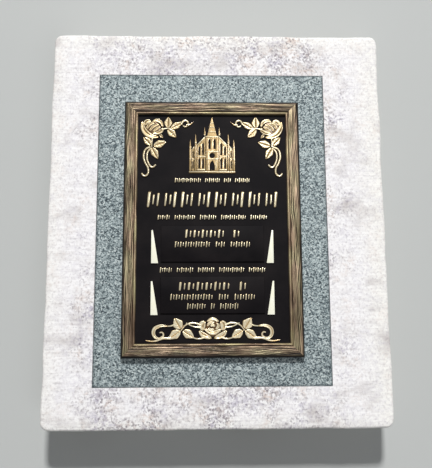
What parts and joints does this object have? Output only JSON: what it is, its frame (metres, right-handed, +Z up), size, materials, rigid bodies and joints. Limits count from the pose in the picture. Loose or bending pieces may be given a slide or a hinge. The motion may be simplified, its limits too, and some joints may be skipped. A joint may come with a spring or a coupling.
{
  "type": "flat grave marker",
  "caption": "Flat grave marker: cast bronze plaque with roses, a church and rows of strokes in a wood-grain frame, on a granite base set flush in a concrete apron.",
  "frame": {"origin": "middle of the flat underside of the concrete apron", "axes": "+Z up out of the ground, through the face of the plaque; +Y towards the head of the marker; +X to a reader's right"},
  "size_m": [0.786, 0.929, 0.1208],
  "materials": {
    "concrete": "pale broomed concrete, matte",
    "granite": "fine-grained blue-grey granite, honed",
    "bronze": "brown patinated bronze with brushed pale gold relief",
    "dark_bronze": "near-black patina, matte"
  },
  "bodies": {
    "root": {"concrete_apron": "concrete", "granite_base": "granite", "bronze_plaque": "bronze", "name_plate_upper": "dark_bronze", "name_plate_lower": "dark_bronze"}
  },
  "joints": []
}
